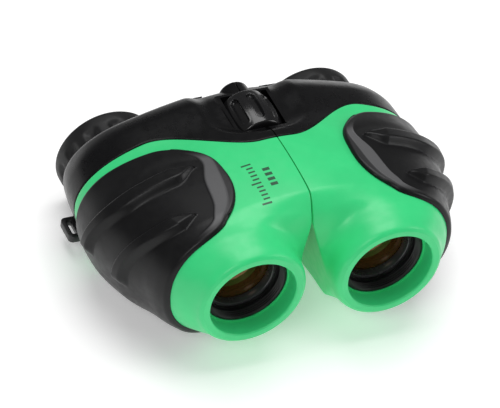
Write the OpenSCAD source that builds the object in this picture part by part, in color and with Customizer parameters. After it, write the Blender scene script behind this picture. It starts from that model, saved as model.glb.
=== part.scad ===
// Compact folding binoculars of the reverse-porro kind.
// Millimetres. X across, Y along the optical axes (objectives at -Y), Z up. The seam is the plane X = 0.

/* [Overall] */

// half the length, from the middle to either end
half_len = 42.1; // [41:0.1:44.5]
// height of the hinge axis above the base
hinge_h = 42; // [41:0.1:43]
// largest depth of each half's roof above its tube axis
roof_rise = 20.7; // [18.5:0.1:22]
// reach of each half outside its tube axis
body_reach = 28.9; // [27:0.1:32]
// outward slope of the roof, degrees
roof_tilt = 17; // [14:0.5:20]
// wall of the shells and covers
wall = 1.8; // [1.4:0.1:2.4]
// half the gap between the two halves
seam_gap = 0.15; // [0.1:0.05:0.4]
// fold of each half before the two meet, degrees
fold_half = 15; // [10:1:18]

/* [Objectives] */

// distance between the two objective axes
objective_spacing = 44; // [42:0.5:48]
// height of the objective axes
objective_h = 28.3; // [27:0.1:30]
// outside radius of the objective barrels
barrel_r = 17.3; // [16.5:0.1:19]
// radius of the hood bore at the front of each barrel
hood_r = 13.5; // [12.8:0.1:14.5]
// depth of the hood bore
hood_depth = 5.6; // [4:0.1:8]
// outside radius of the objective tubes
tube_r = 12.9; // [11.8:0.1:12.95]
// radius of the objective lenses
objective_r = 10.5; // [9:0.1:11]
// length of the objective tubes
tube_len = 13; // [10:0.5:15]

/* [Eyepieces] */

// distance between the two eyepiece axes
eyepiece_spacing = 68; // [66:0.5:70]
// height of the eyepiece axes
eyepiece_h = 16.4; // [16:0.1:18]
// outside radius of the eyecups
eyecup_r = 16.1; // [14.5:0.1:16.3]
// length of the eyecups
eyecup_len = 9.4; // [8:0.1:9.6]
// radius of the cup that the eye looks into
eyecup_bore_r = 11.6; // [10:0.1:12.5]
// outside radius of the sliding eyepiece barrels
eyebarrel_r = 12.6; // [12.4:0.1:12.8]
// depth of the thumb flutes round each eyecup
flute_depth = 1.1; // [0.5:0.1:1.6]
// number of flutes round each eyecup
flute_count = 12; // [8:1:18]
// focus travel each way
focus_travel = 1.2; // [0.8:0.1:1.3]
// width of the dioptre ring
dioptre_w = 3; // [2:0.1:3.2]

/* [Prisms] */

// width of each prism's working face
prism_w = 11; // [9:0.5:11.5]
// gap between the two prisms of one side
prism_gap = 2; // [1.5:0.1:3]
// plane midway between the two prisms
prism_mid_y = 2; // [0:0.5:3]

/* [Focus wheel and hinge] */

// radius of the focus wheel at its crown
wheel_r = 8.6; // [8:0.1:9]
// length of the focus wheel
wheel_len = 15; // [12:0.5:15.8]
// middle of the focus wheel along Y
wheel_y = 15.2; // [14.5:0.1:15.8]
// half width of the wheel opening
bay_half = 7.3; // [6.5:0.1:8]
// gap between the wheel and each end of its opening
bay_gap = 0.9; // [0.5:0.1:1.2]
// radius of the hinge shaft
shaft_r = 2; // [1.6:0.1:2.3]
// outside radius of the hinge knuckles
knuckle_r = 4.4; // [4:0.1:4.6]
// radius of the rounded hump behind the wheel
hump_r = 4.9; // [4.8:0.1:5.4]
// outside radius of the focus nut
nut_r = 3.5; // [3.3:0.1:3.6]

/* [Grips and fittings] */

// thickness of the rubber grips
grip_t = 1.2; // [0.8:0.1:1.8]
// height of the finger ridges above the grip
ridge_h = 2.2; // [1:0.1:2.6]
// length of each strap lug
lug_len = 9; // [7:0.5:10]
// thickness of each strap lug
lug_t = 2.4; // [1.8:0.1:3]
// width of the slot in each strap lug
lug_slot = 1.6; // [1.2:0.1:2]

/* [Clearances] */

// radial clearance of pieces that slide or turn
run_clear = 0.06; // [0.03:0.01:0.1]
// gap between a skin and the wall under it
skin_gap = 0.3; // [0.2:0.05:0.4]
// radial clearance round knuckles and the nut
pocket_clear = 0.4; // [0.3:0.05:0.5]

/* [Show] */

// which sub-part to draw

/* [Hidden] */

green = [0.14, 0.72, 0.40];
black = [0.03, 0.03, 0.035];
rubber = [0.02, 0.02, 0.022];
steel = [0.6, 0.6, 0.62];
grey = [0.2, 0.2, 0.21];
glass = [0.45, 0.5, 0.4, 0.5];

ox = objective_spacing / 2;
ex = eyepiece_spacing / 2;
front_y = -half_len;
rear_y = half_len - eyecup_len - focus_travel - 0.3;
rim_y = 10;
hood_y = front_y + hood_depth;
bay_front = wheel_y - wheel_len / 2 - bay_gap;
bay_rear = wheel_y + wheel_len / 2 + bay_gap;
fold_slope = tan(fold_half);
pocket_r = knuckle_r + pocket_clear;

// Cross-sections of the right half, front to back:
// y, centre x, centre z, reach in, reach out, rise, drop, tilt, fullness
b0 = barrel_r;
t0 = roof_tilt;
ring_n = 40;
sections = [
  [front_y, ox, objective_h, b0 - 1.7, b0 - 1.7, b0 - 1.7, b0 - 1.7, 0, 2],
  [front_y + 0.7, ox, objective_h, b0 - 0.7, b0 - 0.7, b0 - 0.7, b0 - 0.7, 0, 2],
  [front_y + 2.4, ox, objective_h, b0, b0, b0, b0, 0, 2],
  [-36, ox + 0.2, objective_h - 0.2, b0 + 0.6, b0 + 3.2, b0 + 0.9, b0 + 1.2, -t0 * 0.2, 2],
  [-32.5, ox + 0.4, objective_h - 0.4, b0 + 3, b0 + 5.2, b0 + 2, b0 + 2.2, -t0 * 0.5, 2.05],
  [-29, ox + 0.6, objective_h - 0.5, b0 + 14, b0 + 6.6, roof_rise - 1.2, b0 + 2.8, -t0 * 0.75, 2.15],
  [-24.5, 23, 27.4, 44, body_reach - 4.2, roof_rise - 0.4, 20.2, -t0 * 0.88, 2.28],
  [-12, 25, 26.4, 48, body_reach - 1.2, roof_rise, 22.2, -t0 * 0.97, 2.33],
  [0, 26.5, 25.8, 50, body_reach, roof_rise - 0.6, 23.2, -t0, 2.35],
  [12, 27.2, 25.2, 51, body_reach - 0.8, roof_rise - 1.6, 23.2, -t0, 2.35],
  [22, 28, 24.6, 52, body_reach - 2.4, roof_rise - 1.4, 22.6, -t0, 2.35],
  [28, 29.4, 23, 52, body_reach - 5, roof_rise - 2.2, 20.6, -t0, 2.3],
  [rear_y, 31, 21, 52, body_reach - 8, roof_rise - 4, 18.4, -t0, 2.25]];
last = len(sections) - 1;

function pick(i, k) = sections[i][k];
function rise_at(i, k) = (pick(i + 1, k) - pick(i, k)) / (pick(i + 1, 0) - pick(i, 0));
function slope_at(i, k) = i <= 0 ? rise_at(0, k) : i >= last ? rise_at(last - 1, k)
  : let (a = rise_at(i - 1, k), b = rise_at(i, k)) a * b > 0 ? 2 * a * b / (a + b) : 0;
function find(y, i = 0) = i >= last - 1 || y < pick(i + 1, 0) ? i : find(y, i + 1);
function value(y, k) = let (i = find(y), h = pick(i + 1, 0) - pick(i, 0), t = (y - pick(i, 0)) / h,
  t2 = t * t, t3 = t2 * t)
  (2 * t3 - 3 * t2 + 1) * pick(i, k) + (t3 - 2 * t2 + t) * h * slope_at(i, k)
  + (3 * t2 - 2 * t3) * pick(i + 1, k) + (t3 - t2) * h * slope_at(i + 1, k);
function station(y) = [for (k = [0:8]) k == 0 ? y : value(y, k)];
function pow_s(v, p) = sign(v) * pow(abs(v), p);
function clamp01(v) = min(1, max(0, v));
function ease(v) = let (t = clamp01(v)) t * t * (3 - 2 * t);

// One point of a cross-section, drawn in by `inset`
function raw(s, a, inset) = let (c = cos(a), n = sin(a), p = 2 / s[8],
  u = ((c < 0 ? s[3] : s[4]) - inset) * pow_s(c, p), v = ((n > 0 ? s[5] : s[6]) - inset) * pow_s(n, p))
  [s[1] + u * cos(s[7]) - v * sin(s[7]), s[2] + u * sin(s[7]) + v * cos(s[7])];
// Height of the flat each shell has underneath: the thicker soles of the grips stand on the ground below it
floor_h = skin_gap + grip_t + 0.5;
// The shallow dish round the wheel
dish_depth = 2.2;
function dish(x, y, z) = z < hinge_h ? 0 : let (g = min(0, y - 15) / 13, e = 1 - x * x / 289 - g * g)
  e <= 0 ? 0 : dish_depth * ease(e * 1.6);
function seam_x(z, inset) = seam_gap + inset + max(0, hinge_h - z) * fold_slope;
// Where the cover's edge runs: pulled forward over the hinge, back at the sides
edge_pull = 16;
function edge_y(x, y) = let (w = y < rim_y ? ease((y + 26) / 36) : ease((rear_y - 1.9 - y) / 19))
  w * (edge_pull * ease((x - 5) / 30) - 11);
// A point of the half's surface: y0 is the station, a the angle round it
function skin(y0, a, inset = 0) = let (r = raw(station(y0), a, inset), y = y0 + edge_y(r[0], y0),
  q = raw(station(y), a, inset), z = q[1] - dish(q[0], y, q[1]))
  [max(q[0], seam_x(z, inset)), y, max(z, floor_h + inset)];
function ring(y0, inset) = [for (j = [0:ring_n - 1]) skin(y0, j * 360 / ring_n, inset)];
function round_ring(y, r) = [for (j = [0:ring_n - 1]) [ox + r * cos(j * 360 / ring_n), y,
  objective_h + r * sin(j * 360 / ring_n)]];
function flat(v) = [for (r = v) each r];
function quads(m, n, wrap) = [for (i = [0:m - 2]) for (j = [0:n - (wrap ? 1 : 2)]) let (k = (j + 1) % n)
  each [[i * n + j, i * n + k, (i + 1) * n + k], [i * n + j, (i + 1) * n + k, (i + 1) * n + j]]];
function turned(f) = [for (t = f) [for (i = [len(t) - 1:-1:0]) t[i]]];

// A tube-shaped skin through rings: out along one list, back along the other
module sleeve(outer, inner) {
  rows = concat(outer, inner);
  m = len(rows);
  faces = concat(quads(m, ring_n, true),
    [for (j = [0:ring_n - 1]) let (k = (j + 1) % ring_n) each [
      [(m - 1) * ring_n + j, (m - 1) * ring_n + k, k], [(m - 1) * ring_n + j, k, j]]]);
  polyhedron(points = flat(rows), faces = faces, convexity = 8);
}

// The same, with both skins closed by a flat wall at the back
module cup(outer, inner) {
  a = len(outer);
  rows = concat(outer, inner);
  m = len(rows);
  join = [for (j = [0:ring_n - 1]) let (k = (j + 1) % ring_n) each [
    [a * ring_n + j, k, j], [a * ring_n + j, a * ring_n + k, k]]];
  outside = quads(a, ring_n, true);
  inside = [for (t = quads(m - a, ring_n, true)) [t[2] + a * ring_n, t[1] + a * ring_n, t[0] + a * ring_n]];
  polyhedron(points = flat(rows), convexity = 8, faces = concat(outside, inside, join,
    [[for (j = [0:ring_n - 1]) (a - 1) * ring_n + j]],
    [[for (j = [ring_n - 1:-1:0]) (m - 1) * ring_n + j]]));
}

module rod(y0, y1, r, x = 0, z = hinge_h) {
  translate([x, y0, z]) rotate([-90, 0, 0]) cylinder(h = y1 - y0, r = r, $fn = 72);
}

module pipe(y0, y1, r, bore, x, z) {
  difference() {
    rod(y0, y1, r, x, z);
    rod(y0 - 1, y1 + 1, bore, x, z);
  }
}

// Turned pieces: [radius, y] outline round an axis along Y
module turned_piece(outline, x, z) {
  translate([x, 0, z]) rotate([-90, 0, 0]) rotate_extrude($fn = 96) polygon(outline);
}

module on_side(s) {
  if (s > 0) children();
  else mirror([1, 0, 0]) children();
}

// Hinge: two left knuckles with the right one between them
left_front = [-20, -12];
right_mid = [-11.85, -2];
left_back = [1.2, bay_front - 0.15];
shaft_rear = bay_rear + 5;

shell_out = [front_y, front_y + 0.35, front_y + 0.9, front_y + 2.4, -38, -36, -34, -32.5, -31, -29.5,
  -28, -26, -23, -19, -15, -10, -5, 0, 5, rim_y];
shell_in = [rim_y, 5, 0, -5, -10, -15, -20, -25, -29];

module half_shell() {
  sleeve([for (y = shell_out) ring(y, 0)],
    concat([for (y = shell_in) ring(y, wall)],
      [round_ring(-32.5, tube_r - 1.4), round_ring(front_y, tube_r - 1.4)]));
}

module shell(s) {
  bore = shaft_r + run_clear;
  difference() {
    union() {
      difference() {
        on_side(s) half_shell();
        rod(left_front[0] - 2.4, left_front[0] - 0.1, 3.3 + pocket_clear);
        if (s < 0) rod(right_mid[0] - 0.15, rim_y, pocket_r);
        else rod(left_front[0] - 0.2, left_front[1] + 0.05, pocket_r);
        if (s > 0) rod(right_mid[1] + 0.1, rim_y, pocket_r);
      }
      on_side(s) rod(-35, hood_y + tube_len - 1, tube_r + run_clear + 1.6, ox, objective_h);
      knuckle(s < 0 ? left_front : right_mid);
    }
    on_side(s) rod(front_y - 1, hood_y, hood_r, ox, objective_h);
    on_side(s) rod(hood_y - 1, hood_y + tube_len + 8, tube_r + run_clear, ox, objective_h);
    rod(-24, 12, bore);
  }
}

// A knuckle, which merges with its own half's seam wall
module knuckle(span) rod(span[0], span[1], knuckle_r);

module left_shell() color(green) shell(-1);
module right_shell() color(green) shell(1);

// Housing round the focus wheel: half a drum on each cover, hollowed out with the opening
house_t = 0.9;
house_r = wheel_r + 0.6;
house_in = 0.6;
house_top = 5.3;
module wheel_house() {
  intersection() {
    rod(bay_front - house_t, bay_rear + house_t, house_r + house_t);
    translate([0, half_len, hinge_h]) rotate([90, 0, 0]) linear_extrude(half_len)
      polygon([[house_in, house_top], [house_in, 0], [house_in + 30 * fold_slope, -30], [30, -30], [30, house_top]]);
  }
}

cover_out = [rim_y + 0.2, 13, 16, 19, 22, 24.5, 26.5, 28, 29.4, rear_y - 0.6, rear_y];
cover_in = [rim_y + 0.2, 13, 16, 19, 22, 25, 27.5, rear_y - wall];

module cover_adds(s) {
  on_side(s) wheel_house();
  intersection() {
    rod(bay_rear + 0.2, rear_y - 0.9, hump_r);
    on_side(s) translate([seam_gap + 0.02, half_len, hinge_h]) rotate([90, 0, 0]) linear_extrude(half_len)
      polygon([[0, 20], [0, 0], [2.6 * fold_slope, -2.6], [20, -2.6], [20, 20]]);
  }
  if (s < 0) knuckle(left_back);
}

module cover_cuts(s) {
  if (s > 0) rod(-4, bay_front - 0.1, pocket_r);
  rod(bay_front, bay_rear, house_r);
  translate([-bay_half, bay_front, hinge_h + 2]) cube([2 * bay_half, bay_rear - bay_front, 40]);
  rod(bay_rear + house_t - 0.03, shaft_rear + 0.9, nut_r + pocket_clear);
  rod(bay_rear - 1, bay_rear + house_t + 1, screw_r + 0.3);
  rod(-4, bay_rear - 2, shaft_r + run_clear);
  on_side(s) bridge_slot();
}

module cover(s) {
  difference() {
    union() {
      on_side(s) cup([for (y = cover_out) ring(y, y == rear_y ? 1.2 : y == rear_y - 0.6 ? 0.35 : 0)],
        [for (y = cover_in) ring(y, wall)]);
      union() cover_adds(s);
    }
    union() cover_cuts(s);
    on_side(s) lug_blank(0.03);
    on_side(s) rod(20, half_len, eyebarrel_r + run_clear, ex, eyepiece_h);
  }
}

module left_cover() color(black) cover(-1);
module right_cover() color(black) cover(1);

// Rubber side grip: a patch of the skin with rounded ends and two finger ridges
grip_mid_a = 10;
grip_half_a = 91;
grip_mid_y = -12.2;
grip_half_y = 18.6;
sole_t = 0.9;
grip_cols = 21;
grip_rows = 14;
function bump(v, c, w) = exp(-pow((v - c) / w, 2));
function grip_p(i) = let (t = 2 * i / (grip_cols - 1) - 1) sin(90 * t) * 0.985;
function grip_q(i) = 2 * i / (grip_rows - 1) - 1;
function grip_spread(p) = pow(1 - pow(abs(p), 6), 1 / 3);
function grip_at(p, q, h) = skin(grip_mid_y + grip_half_y * q * grip_spread(p), grip_mid_a + grip_half_a * p, -h);
function ridge(p, y, mid, end) = ease((end - p) * 7) * ease((p + 0.4) * 4) * bump(y, mid, 0.16);
function grip_h(p, q) = let (y = q * grip_spread(p), rim = ease((1 - max(abs(p), abs(q))) * 6 + 0.35))
  skin_gap + (grip_t + sole_t * ease((-0.5 - p) * 5)) * rim + ridge_h * (ridge(p, y, 0.32, 0.93) + ridge(p, y, -0.43, 0.8)) * rim;
module half_grip() {
  n = grip_rows;
  m = grip_cols;
  top = [for (i = [0:m - 1]) for (j = [0:n - 1]) let (p = grip_p(i), q = grip_q(j)) grip_at(p, q, grip_h(p, q))];
  low = [for (i = [0:m - 1]) for (j = [0:n - 1]) grip_at(grip_p(i), grip_q(j), skin_gap)];
  k = m * n;
  upper = quads(m, n, false);
  lower = [for (t = upper) [t[2] + k, t[1] + k, t[0] + k]];
  ends = [for (i = [0:m - 2]) each [
    [i * n, (i + 1) * n, (i + 1) * n + k], [i * n, (i + 1) * n + k, i * n + k],
    [(i + 1) * n + n - 1, i * n + n - 1, i * n + n - 1 + k],
    [(i + 1) * n + n - 1, i * n + n - 1 + k, (i + 1) * n + n - 1 + k]]];
  caps = [for (j = [0:n - 2]) each [
    [j + 1, j, j + k], [j + 1, j + k, j + 1 + k],
    [(m - 1) * n + j, (m - 1) * n + j + 1, (m - 1) * n + j + 1 + k],
    [(m - 1) * n + j, (m - 1) * n + j + 1 + k, (m - 1) * n + j + k]]];
  polyhedron(points = concat(top, low), faces = concat(upper, lower, ends, caps), convexity = 8);
}

module grip(s) {
  on_side(s) difference() {
    half_grip();
    translate([5, -60, -10]) cube([70, 120, 10]);
  }
}
module left_grip() color(rubber) grip(-1);
module right_grip() color(rubber) grip(1);

// Objective tube with a step the lens sits on
module objective_tube(s) {
  y1 = hood_y + tube_len;
  turned_piece([[tube_r, hood_y], [tube_r, y1], [objective_r - 1.4, y1], [objective_r - 1.4, hood_y + 9.5],
    [objective_r + 0.6, hood_y + 9.5], [objective_r + 0.6, hood_y + 3.4], [objective_r + 1.5, hood_y + 3.4],
    [objective_r + 1.5, hood_y]], s * ox, objective_h);
}
module left_objective_tube() color(black) objective_tube(-1);
module right_objective_tube() color(black) objective_tube(1);

function arc(r, sag, y, dir, n = 10) = let (q = (r * r + sag * sag) / (2 * sag))
  [for (i = [0:n]) let (x = r * (1 - i / n)) [x, y + dir * (sqrt(q * q - x * x) - (q - sag))]];
module lens(r, y0, y1, sag_front, sag_back, s, x, z) {
  front = arc(r, sag_front, y0, -1);
  back = arc(r, sag_back, y1, 1);
  turned_piece(concat(front, [for (i = [len(back) - 1:-1:0]) back[i]]), s * x, z);
}
module objective_lens(s) lens(objective_r, hood_y + 6.8, hood_y + 9.2, 1.6, 0.9, s, ox, objective_h);
module left_objective_lens() color(glass) objective_lens(-1);
module right_objective_lens() color(glass) objective_lens(1);

module objective_ring(s) {
  turned_piece([[objective_r + 0.54, hood_y + 4.2], [objective_r + 0.54, hood_y + 6.7],
    [objective_r - 0.9, hood_y + 6.4], [objective_r - 0.2, hood_y + 4.2]], s * ox, objective_h);
}
module left_objective_ring() color(grey) objective_ring(-1);
module right_objective_ring() color(grey) objective_ring(1);

// Prisms: the rear one carries the light outward, the front one carries it down
shift_x = ex - ox;
shift_z = objective_h - eyepiece_h;
rear_face_y = prism_mid_y + prism_gap / 2;
front_face_y = prism_mid_y - prism_gap / 2;
prism_mid_x = (ox + ex) / 2;
prism_mid_z = (objective_h + eyepiece_h) / 2;
module prism_rear(s) {
  on_side(s) translate([prism_mid_x, rear_face_y, objective_h - prism_w / 2]) linear_extrude(prism_w)
    polygon([[-shift_x, 0], [shift_x, 0], [shift_x, 1], [1, shift_x], [-1, shift_x], [-shift_x, 1]]);
}
module prism_front(s) {
  on_side(s) translate([ex - prism_w / 2, front_face_y, prism_mid_z]) rotate([90, 0, 90]) linear_extrude(prism_w)
    polygon([[0, -shift_z], [0, shift_z], [-1, shift_z], [-shift_z, 1], [-shift_z, -1], [-1, -shift_z]]);
}
module left_prism_rear() color(glass) prism_rear(-1);
module right_prism_rear() color(glass) prism_rear(1);
module left_prism_front() color(glass) prism_front(-1);
module right_prism_front() color(glass) prism_front(1);

// Prism frame: the plate between the prisms, with fences that hold them and ears for two screws
fit = 0.1;
screw_spots = [[ox - 4.4, objective_h - 14], [ex + 12.5, objective_h + 1]];
module prism_frame(s) {
  x0 = ox - 9;
  x1 = ex + 14.4;
  z0 = eyepiece_h - 8.4;
  z1 = objective_h + 8;
  t = prism_gap - 2 * fit;
  fence = 1.2;
  on_side(s) difference() {
    union() {
      translate([0, prism_mid_y + t / 2, 0]) rotate([90, 0, 0]) linear_extrude(t)
        polygon([[x0, z0], [x1 - 5, z0], [x1, z0 + 7], [x1, z1 - 6], [x1 - 5, z1], [x0, z1]]);
      translate([x0 + 1, prism_mid_y, objective_h + prism_w / 2 + fit]) cube([x1 - x0 - 6, 6, fence]);
      translate([x0 + 1, prism_mid_y, objective_h - prism_w / 2 - fit - fence]) cube([x1 - x0 - 6, 6, fence]);
      translate([ex + prism_w / 2 + fit, prism_mid_y - 6, z0 + 1]) cube([fence, 6, z1 - z0 - 2]);
      translate([ex - prism_w / 2 - fit - fence, prism_mid_y - 6, z0 + 1]) cube([fence, 6, z1 - z0 - 2]);
    }
    rod(-20, 20, prism_w / 2 - 0.6, ox, objective_h);
    rod(-20, 20, prism_w / 2 - 0.6, ex, objective_h);
    rod(-20, 20, prism_w / 2 - 0.6, ex, eyepiece_h);
    for (p = screw_spots) rod(-20, 20, 1.05, p[0], p[1]);
  }
}
module left_prism_frame() color(grey) prism_frame(-1);
module right_prism_frame() color(grey) prism_frame(1);

module screw(y, dir, x, z) {
  y0 = dir > 0 ? y : y - 5.5;
  rod(y0, y0 + 5.5, 1, x, z);
  difference() {
    rod(dir > 0 ? y - 1.2 : y, dir > 0 ? y : y + 1.2, 1.9, x, z);
    translate([x - 1.4, dir > 0 ? y - 1.8 : y + 0.6, z - 0.25]) cube([2.8, 1.2, 0.5]);
  }
}
module frame_screws(s) for (p = screw_spots) screw(prism_mid_y - prism_gap / 2 + fit, 1, s * p[0], p[1]);
module left_frame_screws() color(steel) frame_screws(-1);
module right_frame_screws() color(steel) frame_screws(1);

// Strap lug: a slotted plate on the outer lower corner of each cover
lug_out = 54.2;
lug_y = 16.6;
lug_z = 7;
lug_root = 43.6;
module lug_blank(grow) {
  translate([lug_root, lug_y - grow, lug_z - lug_t / 2 - grow])
    cube([lug_out - lug_root, lug_len + 2 * grow, lug_t + 2 * grow]);
}
module lug(s) {
  on_side(s) difference() {
    lug_blank(0);
    translate([lug_out - 1.5 - lug_slot, lug_y + 1.6, lug_z - lug_t]) cube([lug_slot, lug_len - 3.2, 2 * lug_t]);
  }
}
module left_lug() color(black) lug(-1);
module right_lug() color(black) lug(1);

// Hinge shaft, with a groove near its front end for the clip
module hinge_shaft() color(steel) {
  difference() {
    rod(left_front[0] - 1.8, shaft_rear, shaft_r);
    pipe(left_front[0] - 0.95, left_front[0] - 0.1, shaft_r + 1, shaft_r - 0.42, 0, hinge_h);
  }
}

module shaft_clips() color(steel) {
  pipe(left_front[0] - 0.9, left_front[0] - 0.15, 3.3, shaft_r - 0.4, 0, hinge_h);
}

// Focus wheel: crowned, with long round-ended slots, turning on the shaft
wheel_slots = 10;
screw_r = 2.9;
module focus_wheel() color(black) {
  y0 = wheel_y - wheel_len / 2;
  y1 = wheel_y + wheel_len / 2;
  h = wheel_len / 2;
  difference() {
    turned_piece(concat([[shaft_r + run_clear, y0], [wheel_r - 1.5, y0]],
      [for (i = [0:8]) let (t = i / 4 - 1) [wheel_r - 1 * t * t, wheel_y + (h - 0.5) * t]],
      [[wheel_r - 1.5, y1], [screw_r + 0.02, y1], [screw_r + 0.02, y1 - 6], [shaft_r + run_clear, y1 - 6]]), 0, hinge_h);
    for (i = [0:wheel_slots - 1]) translate([0, wheel_y, hinge_h]) rotate([0, i * 360 / wheel_slots, 0])
      translate([0, 0, wheel_r - 0.9]) {
        translate([-1.2, -h + 3, 0]) cube([2.4, 2 * h - 6, 4]);
        translate([0, -h + 3, 0]) cylinder(h = 4, r = 1.2, $fn = 32);
        translate([0, h - 3, 0]) cylinder(h = 4, r = 1.2, $fn = 32);
      }
  }
}

// Focus screw: the threaded sleeve fixed in the wheel, its thread shown as fine rings
module focus_screw() color(steel) {
  y0 = wheel_y + wheel_len / 2 - 5.9;
  y1 = shaft_rear - 0.3;
  turned_piece(concat([[shaft_r + run_clear, y0], [screw_r, y0], [screw_r, y0 + 6.4]],
    [for (i = [0:3]) each [[screw_r - 0.35, y0 + 6.6 + i], [screw_r - 0.05, y0 + 7.1 + i]]],
    [[screw_r - 0.35, y1], [shaft_r + run_clear, y1]]), 0, hinge_h);
}

// Bridge arms: they carry the eyepieces and are driven by the nut
arm_t = 2;
arm_y = bay_rear + house_t + focus_travel + 0.1;
module arm(y0, y1, r0) {
  dx = ex;
  dz = eyepiece_h - hinge_h;
  d = sqrt(dx * dx + dz * dz);
  a = atan2(-dz, dx);
  translate([0, y0, hinge_h]) rotate([0, a, 0]) translate([r0, 0, -2.2]) cube([d - r0 - eyebarrel_r + 1.6, y1 - y0, 4.4]);
}
module bridge_slot() {
  dz = eyepiece_h - hinge_h;
  a = atan2(-dz, ex);
  translate([0, bay_rear + house_t + 0.05, hinge_h]) rotate([0, a, 0])
    translate([0, 0, -2.6]) cube([20, arm_t + 2 * focus_travel + 0.2, 5.2]);
}
module arm_ring(y0) {
  difference() {
    rod(y0, barrel_front - 0.02, eyebarrel_r - 0.4, ex, eyepiece_h);
    rod(y0 - 1, barrel_front + 1, eyebarrel_r - 3.2, ex, eyepiece_h);
  }
}
module left_bridge() color(grey) {
  y1 = arm_y + arm_t / 2 - 0.08;
  difference() {
    union() {
      rod(arm_y, y1, nut_r);
      on_side(-1) arm(arm_y, y1, 1);
      on_side(-1) arm_ring(arm_y);
    }
    rod(0, 40, screw_r + run_clear);
    on_side(-1) for (p = bridge_spots) rod(0, 40, 0.8, p[0], p[1]);
  }
}
module right_bridge() color(grey) {
  y0 = arm_y + arm_t / 2 + 0.08;
  y1 = arm_y + arm_t;
  difference() {
    union() {
      rod(y0, y1, nut_r);
      arm(y0, y1, 1);
      arm_ring(y0);
    }
    rod(0, 40, screw_r + run_clear);
    for (p = bridge_spots) rod(0, 40, 0.8, p[0], p[1]);
  }
}
bridge_spots = [[ex, eyepiece_h + eyebarrel_r - 1.5], [ex, eyepiece_h - eyebarrel_r + 1.5]];
module bridge_screws(s) {
  y = s > 0 ? arm_y + arm_t / 2 + 0.08 : arm_y;
  for (p = bridge_spots) {
    rod(y, y + 4.5, 0.75, s * p[0], p[1]);
    rod(y - 0.7, y, 1.1, s * p[0], p[1]);
  }
}
module left_bridge_screws() color(steel) bridge_screws(-1);
module right_bridge_screws() color(steel) bridge_screws(1);

// Eyepiece barrel: slides in the cover, carries the lenses and the eyecup
barrel_front = arm_y + arm_t + 0.1;
cup_front = half_len - eyecup_len;
barrel_rear = half_len - 2.2;
cell_r = 9.4;
// The dioptre ring makes the right eyepiece longer by its own width
function longer(s) = s > 0 ? dioptre_w : 0;
module eye_barrel(s) {
  inner = s > 0 ? cell_r + 0.7 + run_clear : cell_r;
  difference() {
    pipe(barrel_front, barrel_rear + longer(s), eyebarrel_r, inner, s * ex, eyepiece_h);
    on_side(s) for (p = bridge_spots) rod(0, barrel_front + 3.8, 0.8, p[0], p[1]);
  }
}
module left_eye_barrel() color(black) eye_barrel(-1);
module right_eye_barrel() color(black) eye_barrel(1);

module field_lens(s) lens(cell_r - 0.05 - (s > 0 ? 0.5 : 0), barrel_front + 1.2, barrel_front + 2.6, 0.05, 1.4, s, ex, eyepiece_h);
module left_field_lens() color(glass) field_lens(-1);
module right_field_lens() color(glass) field_lens(1);
module eye_lens(s) lens(cell_r - 0.05 - (s > 0 ? 0.5 : 0), barrel_front + 6.2, barrel_front + 7.8, 1.2, 0.8, s, ex, eyepiece_h);
module left_eye_lens() color(glass) eye_lens(-1);
module right_eye_lens() color(glass) eye_lens(1);
module lens_ring(s) {
  r = cell_r - 0.04 - (s > 0 ? 0.5 : 0);
  pipe(barrel_front + 9, barrel_front + 10.4, r, 7.4, s * ex, eyepiece_h);
}
module left_lens_ring() color(grey) lens_ring(-1);
module right_lens_ring() color(grey) lens_ring(1);

module eyecup(s) {
  y0 = cup_front + (s > 0 ? dioptre_w + 0.2 : 0);
  y1 = half_len + longer(s);
  seat = barrel_rear + longer(s) + 0.04;
  difference() {
    turned_piece([[eyebarrel_r + 0.04, y0], [eyecup_r - 1.6, y0], [eyecup_r - 0.4, y0 + 1],
      [eyecup_r, y1 - 3.4], [eyecup_r, y1 - 0.8], [eyecup_r - 0.8, y1], [eyecup_r - 2.6, y1],
      [eyecup_bore_r, y1 - 1.6], [eyecup_bore_r, seat], [eyebarrel_r + 0.04, seat]], s * ex, eyepiece_h);
    translate([s * ex, 0, eyepiece_h]) for (i = [0:flute_count - 1]) rotate([0, i * 360 / flute_count, 0])
      translate([0, cup_front - 3, eyecup_r + 2.4 - flute_depth]) rotate([-90, 0, 0])
        cylinder(h = y1 - 3.5 - cup_front + 3, r = 2.4, $fn = 40);
  }
}
module left_eyecup() color(rubber) eyecup(-1);
module right_eyecup() color(rubber) eyecup(1);

// Dioptre adjustment, on the right eyepiece only
module dioptre_ring() color(black) {
  difference() {
    pipe(cup_front, cup_front + dioptre_w, eyecup_r - 0.6, eyebarrel_r + run_clear, ex, eyepiece_h);
    translate([ex, 0, eyepiece_h]) for (i = [0:23]) rotate([0, i * 15, 0])
      translate([0, cup_front - 1, eyecup_r - 0.2]) rotate([-90, 0, 0]) cylinder(h = dioptre_w + 2, r = 0.9, $fn = 24);
  }
}
module dioptre_cell() color(black)
  pipe(barrel_front + 0.9, barrel_front + 10.9, cell_r + 0.7, cell_r - 0.5, ex, eyepiece_h);

// The origin is at the middle of the length, which the right eyepiece makes longer at the rear
translate([0, -longer(1) / 2, 0]) {
  left_shell();
  right_shell();
  left_cover();
  right_cover();
  left_grip();
  right_grip();
  left_objective_tube();
  right_objective_tube();
  left_objective_lens();
  right_objective_lens();
  left_objective_ring();
  right_objective_ring();
  left_prism_frame();
  right_prism_frame();
  left_prism_rear();
  right_prism_rear();
  left_prism_front();
  right_prism_front();
  left_frame_screws();
  right_frame_screws();
  left_lug();
  right_lug();
  hinge_shaft();
  shaft_clips();
  focus_wheel();
  focus_screw();
  left_bridge();
  right_bridge();
  left_bridge_screws();
  right_bridge_screws();
  left_eye_barrel();
  right_eye_barrel();
  left_field_lens();
  right_field_lens();
  left_eye_lens();
  right_eye_lens();
  left_lens_ring();
  right_lens_ring();
  left_eyecup();
  right_eyecup();
  dioptre_ring();
  dioptre_cell();
}
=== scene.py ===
import math

import bmesh
import bpy
import numpy as np
from mathutils import Matrix, Vector
from mathutils.bvhtree import BVHTree


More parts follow.
